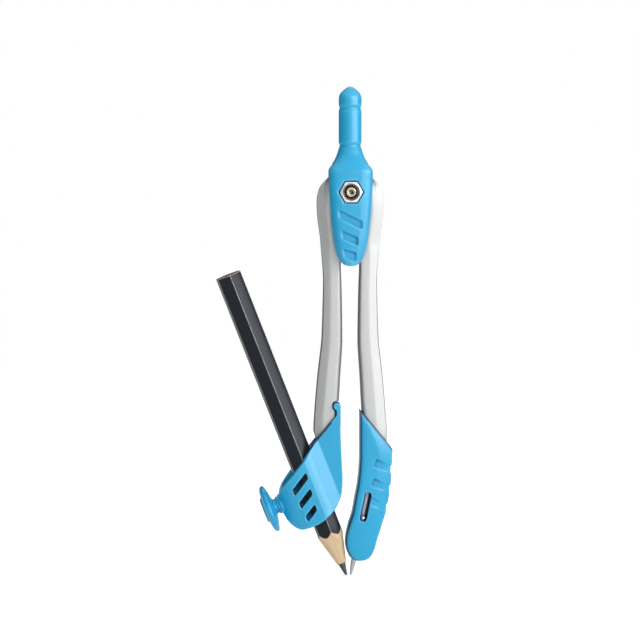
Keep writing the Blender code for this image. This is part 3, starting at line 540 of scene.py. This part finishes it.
def rounded_excess(value, ease):
    """The value where it is above 0 and nothing below, with the corner between them rounded."""
    return 0.5 * (np.sqrt(value ** 2 + ease ** 2) + value)


# Shoulders of the legs and the cover: how much of the width slopes, how steeply, the share of the solid's
# depth that the flat keeps, and the widest part that counts
leg_shoulder = {"share": 0.42, "angle": math.radians(21), "top": 0.86, "widest": 6.6 * mm}
cover_shoulder = {"share": 0.42, "angle": math.radians(13), "top": 1.0, "widest": 9.0 * mm}
narrowest = 3.0 * mm
row_height = 0.5 * mm
rows_together = 11
slope_ease = 0.3 * mm
flat_ease = 0.15 * mm
core_depth = 1.2 * mm
head_radius = 5.2 * mm
head_blend = 2.0 * mm


def shouldered(points, side, share, angle, top, widest):
    """Lowers the front and back to a flat and slopes their outer part away, but not at the leg's head.

    side is -1 on the left leg and 1 on the right one."""
    height = points[:, 2] - points[:, 2].min()
    across = points[:, 0] * side
    depth = np.abs(points[:, 1])

    # The outer line, the inner line and the depth of every row, averaged with the rows next to it
    rows = np.round(height / row_height).astype(int)
    far = np.zeros(rows.max() + 1)
    near = np.full(rows.max() + 1, 1.0)
    deep = np.zeros(rows.max() + 1)
    np.maximum.at(far, rows, across)
    np.minimum.at(near, rows, across)
    np.maximum.at(deep, rows, depth)
    average = np.ones(rows_together) / rows_together
    padded = [np.pad(line, rows_together // 2, mode="edge") for line in (far, near, deep)]
    calm = [np.convolve(line, average, "valid") for line in padded]
    far, near, deep = [np.interp(height, np.arange(len(line)) * row_height, line) for line in calm]

    width = np.clip(far - near, narrowest, widest)
    past_flat = rounded_excess(share * width - (far - across), slope_ease)
    lid = top * deep - math.tan(angle) * past_flat
    over = rounded_excess(depth - lid, flat_ease)
    from_bolt = np.hypot(points[:, 0], points[:, 2] - pivot_height)
    over *= np.clip(depth / core_depth, 0.0, 1.0)
    over *= np.clip((from_bolt - head_radius) / head_blend, 0.0, 1.0)
    points[:, 1] = np.sign(points[:, 1]) * np.maximum(depth - over, 0.0)
    return points


edge_reach = 0.22 * mm


def softened(name, node, grain, edge_rounds, body, slot, material, side=0, shoulder=None):
    """The node's solid with its edges rounded as a mould or a casting leaves them."""
    maker = placed(name + "_maker", merged_copy(node))
    remesh = maker.modifiers.new("even", "REMESH")
    remesh.mode = "VOXEL"
    remesh.voxel_size = grain
    mesh = made_mesh(maker, name)
    points = np.zeros(len(mesh.vertices) * 3)
    mesh.vertices.foreach_get("co", points)
    ties = neighbours(mesh)
    points = evened(points.reshape(-1, 3), ties, 8)
    points = relaxed(points, ties, 0.5, edge_rounds)
    if shoulder:
        points = evened(shouldered(points, side, **shoulder), ties, 3)
    mesh.vertices.foreach_set("co", points.ravel())
    mesh.update()
    normals = np.zeros(len(mesh.vertices) * 3)
    mesh.vertices.foreach_get("normal", normals)
    normals = normals.reshape(-1, 3)
    broad = relaxed(points, ties, 0.6, 40)
    edge = np.clip(np.sum((points - broad) * normals, axis=1) / edge_reach, -1.0, 1.0)
    wall = np.sign(normals[:, 0]) * (1.0 - np.abs(normals[:, 1]))
    for label, values in (("edge", edge), ("wall", wall)):
        mesh.attributes.new(label, "FLOAT", "POINT").data.foreach_set("value", values.astype(np.float32))
    mesh.shade_smooth()
    set_finish(placed(name, mesh), body, slot, material, node)


def mesh_piece(name, points, faces, matrix):
    """A closed piece with its faces outwards and its sharp edges kept."""
    mesh = bpy.data.meshes.new(name)
    mesh.from_pydata([tuple(matrix @ Vector(point)) for point in points], [], faces)
    shape = bmesh.new()
    shape.from_mesh(mesh)
    bmesh.ops.remove_doubles(shape, verts=shape.verts, dist=0.001 * mm)
    bmesh.ops.recalc_face_normals(shape, faces=shape.faces)
    shape.to_mesh(mesh)
    shape.free()
    mesh.shade_smooth()
    mesh.set_sharp_from_angle(angle=math.radians(32))
    return placed(name, mesh)


def spun(name, profile_at, matrix, sides=96):
    """A turned piece. profile_at gives the line at an angle, which closes to a ring or ends on the axis."""
    lines = [profile_at(math.tau * i / sides) for i in range(sides)]
    count = len(lines[0])
    points = []
    for i, line in enumerate(lines):
        angle = math.tau * i / sides
        points += [(r * mm * math.cos(angle), r * mm * math.sin(angle), h * mm) for r, h in line]
    ring = lines[0][0][0] > 0.0
    faces = []
    for i in range(sides):
        j = (i + 1) % sides
        for k in range(count if ring else count - 1):
            n = (k + 1) % count
            faces.append((i * count + k, i * count + n, j * count + n, j * count + k))
    return mesh_piece(name, points, faces, matrix)


def eased(corners, ease):
    """A profile line whose inner corners are rounded, each over this length of its two sides."""
    steps = 4
    longest_share = 0.45
    line = [Vector(corner) for corner in corners]
    result = [tuple(line[0])]
    for before, here, after in zip(line, line[1:], line[2:]):
        shortest = min((before - here).length, (after - here).length)
        reach = min(ease, shortest * longest_share)
        start = here + (before - here).normalized() * reach
        end = here + (after - here).normalized() * reach
        for k in range(steps + 1):
            t = k / steps
            spot = start * (1 - t) ** 2 + here * 2 * t * (1 - t) + end * t * t
            result.append((spot.x, spot.y))
    result.append(tuple(line[-1]))
    return result


def turned(name, corners, ease, matrix, sides=96):
    """A round piece with one profile all the way round."""
    line = eased(corners, ease)
    return spun(name, lambda angle: line, matrix, sides)


# Main mouldings and castings: the size of their fine faces, and how often their edges are smoothed
handle_grain = 0.19 * mm
leg_grain = 0.18 * mm
shell_grain = 0.17 * mm
mould_rounds = 3
cast_rounds = 8
softened("moulded_handle", "handle", handle_grain, mould_rounds, "handle", "blue_plastic",
         moulded_blue("handle_blue", 0.31))
softened("cast_left_leg", "left_leg", leg_grain, cast_rounds, "left_leg", "silver_metal",
         cast_silver("left_silver", -1), -1, leg_shoulder)
softened("cast_right_leg", "right_leg", leg_grain, cast_rounds, "right_leg", "silver_metal",
         cast_silver("right_silver", 1), 1, leg_shoulder)
softened("moulded_holder", "pencil_holder", shell_grain, mould_rounds, "left_leg", "blue_plastic",
         moulded_blue("holder_blue", 0.57, -1))
softened("moulded_cover", "needle_cover", shell_grain, mould_rounds, "right_leg", "blue_plastic",
         moulded_blue("cover_blue", 0.83, 1), 1, cover_shoulder)

# Pivot bolt: its end has a dimple and stands in the nut, its head is at the back
bolt_radius = 1.5
bolt_end = 5.4
bolt_chamfer = 0.25
bolt_head_radius = 2.9
bolt_head_top = -4.4
bolt_foot = -5.4
dimple_radius = 0.62
dimple_floor = 4.6
bolt = turned("turned_bolt", [
    (0, dimple_floor), (0.4, 4.7), (0.58, 4.95), (dimple_radius, bolt_end),
    (bolt_radius - bolt_chamfer, bolt_end + 0.02), (bolt_radius, bolt_end - bolt_chamfer),
    (bolt_radius, bolt_head_top), (bolt_head_radius, bolt_head_top), (bolt_head_radius, -5.1),
    (2.55, bolt_foot), (0, bolt_foot)], 0.08, bolt_frame)
bolt_finish = turned_metal("bolt_brass", bolt_frame, brass_tones, rough=0.2, pitch=0.14 * mm, dimple=0.6 * mm)
set_finish(bolt, "handle", "brass", bolt_finish, "pivot_bolt")

# Hexagonal nut
nut_flats = 5.5
nut_foot = 4.42
nut_top = 5.98
nut_bore = 1.8
chamfer_start = 2.62
chamfer_slope = 0.58


def nut_line(angle):
    """The nut's profile at an angle: a chamfered hexagon with a countersunk bore."""
    sector = angle % (math.pi / 3) - math.pi / 6
    flat = nut_flats / 2 / math.cos(sector)
    drop = max(0.0, flat - chamfer_start) * chamfer_slope
    return [(nut_bore, 4.4), (nut_bore, 5.35), (2.02, 5.62), (2.28, 5.93), (2.34, 6.0), (2.55, 6.0),
            (2.63, nut_top), (flat - 0.05, nut_top - drop + 0.03), (flat, nut_top - drop - 0.03),
            (flat, nut_foot + drop), (2.6, 4.4)]


nut = spun("chamfered_nut", nut_line, bolt_frame, sides=144)
nut_finish = turned_metal("nut_nickel", bolt_frame, nickel_tones, rough=0.13, pitch=0.19 * mm,
                          dimple=2.32 * mm, shine=0.5)
set_finish(nut, "handle", "plated_steel", nut_finish, "hex_nut")

# Washers: the outer two are cupped, with their rims towards the legs
washer_bore = 1.8
washer_radius = 4.8
washer_height = 0.4
washer_cup = 0.22


def washer_line(low, cup):
    """A pressed washer's profile, with its hub and its rim set apart by the cup."""
    hub = low + cup
    rim = low - cup
    bore_ease = 0.05
    rim_ease = 0.08
    return [(washer_bore, hub + bore_ease), (washer_bore, hub + washer_height - bore_ease),
            (washer_bore + bore_ease, hub + washer_height), (washer_radius - rim_ease, rim + washer_height),
            (washer_radius, rim + washer_height - rim_ease), (washer_radius, rim + rim_ease),
            (washer_radius - rim_ease, rim), (washer_bore + bore_ease, hub)]


washer_grey = pressed_fibre("washer_grey")
for node, low, cup in (
        ("front_washer", 2.6, washer_cup),
        ("middle_washer", -0.2, 0.0),
        ("rear_washer", -3.0, -washer_cup)):
    line = washer_line(low, cup)
    washer = spun("pressed_" + node, lambda angle: line, bolt_frame)
    set_finish(washer, "handle", "washer_fibre", washer_grey, node)


# Pencil

def pencil_line(angle):
    """The casing at an angle: cut point, rounded hexagon, flat end and the bore for the lead."""
    sector = (angle - pencil_turn + math.pi / 6) % (math.pi / 3) - math.pi / 6
    flat = pencil_flats / 2 / math.cos(sector)
    power = -14
    radius = (flat ** power + ridge_reach ** power) ** (1 / power)
    rise = cone_low + (radius - cone_start) / math.tan(point_angle)
    cone_rows = 16
    casing_rows = 24
    line = [(lead_bore, cone_low)]
    for k in range(1, cone_rows + 1):
        t = k / cone_rows
        line.append((cone_start + (radius - cone_start) * t, cone_low + (rise - cone_low) * t))
    for k in range(1, casing_rows + 1):
        line.append((radius, rise + (pencil_length - end_chamfer - rise) * k / casing_rows))
    line += [(radius - end_chamfer, pencil_length), (lead_bore, pencil_length)]
    return [(r / mm, h / mm) for r, h in line]


casing = spun("lacquered_casing", pencil_line, pencil_frame, sides=192)
set_finish(casing, "pencil", "pencil_wood", pencil_coat("pencil_lacquer"), "pencil_casing")
lead_radius = 1.0
lead_top = pencil_length / mm
lead = turned("sharpened_lead", [
    (0, lead_top), (lead_radius, lead_top), (lead_radius, 3.9), (0.98, 3.4), (0.78, 2.3), (0.55, 1.2),
    (0.38, 0.45), (0.22, 0.08), (0, 0)], 0.12, pencil_frame)
set_finish(lead, "pencil", "pencil_graphite", sharpened_graphite("lead_graphite"), "pencil_lead")


# Clamp: knob, screw with its thread, pressure pad and the bush in the holder

def socket_of(tree, name):
    """The identifier of an input that the tree's interface names."""
    return [item.identifier for item in tree.interface.items_tree if item.name == name][0]


def thread_tree():
    """A ridge that winds round the screw, from its root radius, length and pitch."""
    tree = bpy.data.node_groups.new("thread_ridge", "GeometryNodeTree")
    for name in ("Radius", "Length", "Pitch", "Ridge"):
        tree.interface.new_socket(name, in_out="INPUT", socket_type="NodeSocketFloat")
    tree.interface.new_socket("Finish", in_out="INPUT", socket_type="NodeSocketMaterial")
    tree.interface.new_socket("Geometry", in_out="OUTPUT", socket_type="NodeSocketGeometry")
    given = tree.nodes.new("NodeGroupInput").outputs
    result = tree.nodes.new("NodeGroupOutput")
    turns = tree.nodes.new("ShaderNodeMath")
    turns.operation = "DIVIDE"
    spiral = tree.nodes.new("GeometryNodeCurveSpiral")
    spiral.inputs["Resolution"].default_value = 40
    ridge = tree.nodes.new("GeometryNodeCurvePrimitiveCircle")
    ridge.inputs["Resolution"].default_value = 4
    sweep = tree.nodes.new("GeometryNodeCurveToMesh")
    sweep.inputs["Fill Caps"].default_value = True
    realise = tree.nodes.new("GeometryNodeRealizeInstances")
    coat = tree.nodes.new("GeometryNodeSetMaterial")
    links = (
        (given["Length"], turns.inputs[0]),
        (given["Pitch"], turns.inputs[1]),
        (turns.outputs[0], spiral.inputs["Rotations"]),
        (given["Radius"], spiral.inputs["Start Radius"]),
        (given["Radius"], spiral.inputs["End Radius"]),
        (given["Length"], spiral.inputs["Height"]),
        (given["Ridge"], ridge.inputs["Radius"]),
        (spiral.outputs[0], sweep.inputs["Curve"]),
        (ridge.outputs[0], sweep.inputs["Profile Curve"]),
        (sweep.outputs[0], realise.inputs[0]),
        (realise.outputs[0], coat.inputs["Geometry"]),
        (given["Finish"], coat.inputs["Material"]),
        (coat.outputs[0], result.inputs[0]),
    )
    for start, end in links:
        tree.links.new(start, end)
    return tree


def threaded(name, low, sizes, matrix):
    """A thread's ridge as a plain mesh on its axis, from a height up."""
    tree = thread_tree()
    maker = placed(name + "_maker", bpy.data.meshes.new(name + "_maker"))
    made = maker.modifiers.new("thread", "NODES")
    made.node_group = tree
    for key, value in sizes.items():
        made[socket_of(tree, key)] = value
    mesh = made_mesh(maker, name)
    mesh.transform(matrix @ Matrix.Translation((0, 0, low)))
    return placed(name, mesh)


knob_radius = 6.65
knob_foot = 9.98
neck_radius = 2.0
collar_radius = 2.5
boss_radius = 3.5
boss_top = 14.7
knob_bore = 1.8
knob = turned("moulded_knob", [
    (0, boss_top), (3.2, boss_top), (boss_radius, 14.5), (3.55, 14.22), (5.2, 14.0), (6.3, 13.6),
    (knob_radius, 13.0), (6.6, 12.6), (6.1, 12.3), (4.4, 11.85), (3.0, 11.6), (2.1, 11.4),
    (neck_radius, 10.7), (2.45, 10.55), (collar_radius, knob_foot), (knob_bore, knob_foot),
    (knob_bore, 12.8), (0, 12.85)], 0.3, clamp_frame, sides=160)
set_finish(knob, "thumb_screw", "blue_plastic", moulded_blue("knob_blue", 0.12), "thumb_knob")

screw_core = 1.38
screw_top = 12.6
screw_tip = 4.6
thread_foot = 5.2
screw_finish = turned_metal("screw_zinc", clamp_frame, zinc_tones, rough=0.32, pitch=0.2 * mm)
screw = turned("clamp_stem", [
    (0, screw_top), (screw_core, screw_top), (screw_core, thread_foot), (1.15, 4.65), (0, screw_tip)],
    0.1, clamp_frame)
set_finish(screw, "thumb_screw", "plated_steel", screw_finish, "clamp_screw")
ridge = threaded("clamp_thread", thread_foot * mm, {
    "Radius": 1.36 * mm, "Length": 6.4 * mm, "Pitch": 0.5 * mm, "Ridge": 0.13 * mm, "Finish": screw_finish},
    clamp_frame)
set_finish(ridge, "thumb_screw", "plated_steel", screw_finish)

pad_radius = 2.2
pad_bore = 1.8
pad_foot = 3.8
pad_floor = 4.3
pad_top = 5.3
pad = turned("clamp_pad_cap", [
    (0, pad_floor), (pad_bore, pad_floor), (pad_bore, pad_top), (pad_radius, pad_top), (pad_radius, 4.05),
    (1.95, pad_foot), (0, pad_foot)], 0.1, clamp_frame)
pad_finish = turned_metal("pad_black", clamp_frame, black_tones, rough=0.4, pitch=0.16 * mm)
set_finish(pad, "clamp_pad", "plated_steel", pad_finish, "pressure_pad")
bush_finish = turned_metal("insert_brass", clamp_frame, bush_tones, rough=0.3, pitch=0.2 * mm)
paint(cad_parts["clamp_insert"].data, bush_finish)

# Needle, its carrier with the stud, and the spring behind them
needle_radius = 0.75
shank_radius = 0.5
shank_foot = 12.2
needle_top = 16.1
needle = turned("ground_needle", [
    (0, needle_top), (shank_radius, needle_top), (shank_radius, shank_foot), (needle_radius, shank_foot),
    (needle_radius, 5.1), (0.73, 4.1), (0.6, 2.7), (0.42, 1.35), (0.25, 0.5), (0.06, 0.04), (0, 0)],
    0.3, needle_frame)
set_finish(needle, "needle", "plated_steel", drawn_steel("needle_steel", 0.18), "needle")

carrier_radius = 1.3
carrier_bore = 0.8
carrier_foot = 12.5
carrier_top = 25.1
bore_top = 16.4
carrier = turned("turned_carrier", [
    (0, carrier_top), (1.0, carrier_top), (carrier_radius, 24.8), (carrier_radius, 12.6),
    (1.2, carrier_foot), (carrier_bore, carrier_foot), (carrier_bore, bore_top), (0, bore_top)],
    0.06, needle_frame)
set_finish(carrier, "needle", "plated_steel", drawn_steel("carrier_steel", 0.34), "needle_carrier")

stud_radius = 0.65
stud_middle = 2.55
neck = 0.35
half_turn_steps = 16
ball = []
for k in range(13):
    turn = math.pi * k / half_turn_steps
    ball.append((stud_radius * math.sin(turn), stud_middle + stud_radius * math.cos(turn)))
stud = turned("polished_stud", ball + [(neck, 2.0), (neck, 1.0), (0, 1.0)], 0.02, stud_frame, sides=48)
stud_finish = turned_metal("stud_steel", stud_frame, bright_tones, rough=0.08, pitch=0.1 * mm)
set_finish(stud, "needle", "plated_steel", stud_finish, "carrier_stud")
paint(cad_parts["detent_spring"].data, drawn_steel("spring_steel", 0.25))

# Floor: pale under the compass, where it takes the shadow, and white farther out
floor_reach = 6.0
floor_lift = 0.45
floor_height = solid_box[0].z - 0.05 * mm
white = (1.0, 1.0, 1.0)
floor_mesh = bpy.data.meshes.new("floor")
floor_mesh.from_pydata(
    [(x * floor_reach, y * floor_reach, floor_height) for x, y in ((-1, -1), (1, -1), (1, 1), (-1, 1))],
    [], [(0, 1, 2, 3)])
placed("floor", floor_mesh)
pale = Finish("pale_floor", specular_ior_level=0.0)
pale.colour((0.88, 0.88, 0.88))
pale.rough(0.8)
east, north, _ = pale.apart(pale.place())
away = from_axis(east, north).ramp(0.12, 0.60)
seen = pale.add("ShaderNodeLightPath", None, None, "Is Camera Ray")
glow = pale.add("ShaderNodeEmission", None, {"Color": white, "Strength": floor_lift})
bright = pale.add("ShaderNodeEmission", None, {"Color": white, "Strength": 1.0})
plain = Wire(pale, pale.shader.outputs[0])
lit = pale.add("ShaderNodeAddShader", None, {0: plain, 1: glow})
fade = pale.add("ShaderNodeMixShader", None, {0: away, 1: lit, 2: bright})
shown = pale.add("ShaderNodeMixShader", None, {0: seen, 1: plain, 2: fade})
pale.feed(pale.tree.nodes["Material Output"].inputs["Surface"], shown)
floor_mesh.materials.append(pale.material)

# Surround: white where it is seen, also in gloss or through glass, and softer as light
surround_light = 0.48
world = bpy.data.worlds.new("surround")
bpy.context.scene.world = world
world.use_nodes = True
around = Nodes(world.node_tree)
backdrop = around.tree.nodes["Background"]
rays = [around.add("ShaderNodeLightPath", None, None, kind)
        for kind in ("Is Camera Ray", "Is Glossy Ray", "Is Transmission Ray")]
any_seen = rays[0].most(rays[1]).most(rays[2])
around.feed(backdrop.inputs["Strength"], any_seen.ramp(0.0, 1.0, surround_light, 1.0))
around.feed(backdrop.inputs["Color"], white)


# Lamps: soft boxes that only light the surfaces, and a screen that only gives the reflections their sheen

compass_middle = (0.0, 0.0, -0.055)


def lamp(name, place, width, height, power):
    """A rectangular lamp that points at the middle of the compass."""
    data = bpy.data.lights.new(name, "AREA")
    data.shape = "RECTANGLE"
    data.size = width
    data.size_y = height
    data.energy = power
    made = placed(name, data)
    made.location = place
    made.rotation_euler = (Vector(compass_middle) - Vector(place)).to_track_quat("-Z", "Y").to_euler()
    return made


lamp("key", (0.75, -0.62, 0.32), 0.45, 0.75, 4.0).visible_glossy = False
lamp("front", (-0.15, -0.95, 0.25), 0.6, 0.6, 2.4).visible_glossy = False
lamp("top", (0.15, -0.05, 0.9), 0.6, 0.6, 2.4).visible_glossy = False
lamp("rear", (0.2, 0.85, 0.3), 0.8, 0.6, 3.0).visible_glossy = False

screen_width = 1.5
screen_height = 1.3
screen_power = 5.0 * math.pi * screen_width * screen_height
lamp("screen", (0.90, -0.85, 0.0), screen_width, screen_height, screen_power).visible_diffuse = False


# Grey cards beside the set that the camera doesn't see

def card(name, start, end, low, high, shade, flag=False):
    """An upright card from one floor place to another. A flag also darkens the plain light."""
    mesh = bpy.data.meshes.new(name)
    mesh.from_pydata([(*start, low), (*end, low), (*end, high), (*start, high)], [], [(0, 1, 2, 3)])
    grey = Finish(name)
    grey.colour((shade, shade, shade))
    grey.rough(0.9)
    mesh.materials.append(grey.material)
    made = placed(name, mesh)
    made.visible_camera = False
    made.visible_diffuse = flag
    made.visible_shadow = False


card("left_card", (-0.5, -0.8), (-0.5, 0.7), -0.5, 0.4, 0.03)
card("flag", (-0.45, -0.6), (-0.45, 0.6), -0.5, 0.4, 0.06, True)
card("front_card", (-1.4, -1.3), (0.12, -1.3), -0.6, 0.7, 0.15)
card("right_card", (1.5, -0.25), (2.2, 0.7), -0.9, 0.7, 0.03)
card("rear_card", (-0.5, 0.7), (2.2, 0.7), -0.9, 0.7, 0.03)

# Camera: a long lens, a little to the left and above
picture_width = 640
pixels_per_mm = 3.651
azimuth = math.radians(-3.0)
elevation = math.radians(5.0)
target = Vector((-8.2 * mm, 0.0, -52.6 * mm))
towards = Vector((
    math.sin(azimuth) * math.cos(elevation),
    -math.cos(azimuth) * math.cos(elevation),
    math.sin(elevation)))
width_seen = picture_width / pixels_per_mm * mm
camera_data = bpy.data.cameras.new("camera")
camera_data.lens = 150.0
camera_data.sensor_width = 36.0
camera_data.clip_start = 0.01
camera_data.clip_end = 50.0
camera = placed("camera", camera_data)
camera.location = target + towards * (width_seen * camera_data.lens / camera_data.sensor_width)
camera.rotation_mode = "QUATERNION"
camera.rotation_quaternion = (-towards).to_track_quat("-Z", "Y")
bpy.context.scene.camera = camera
bpy.context.scene.view_settings.view_transform = "Standard"
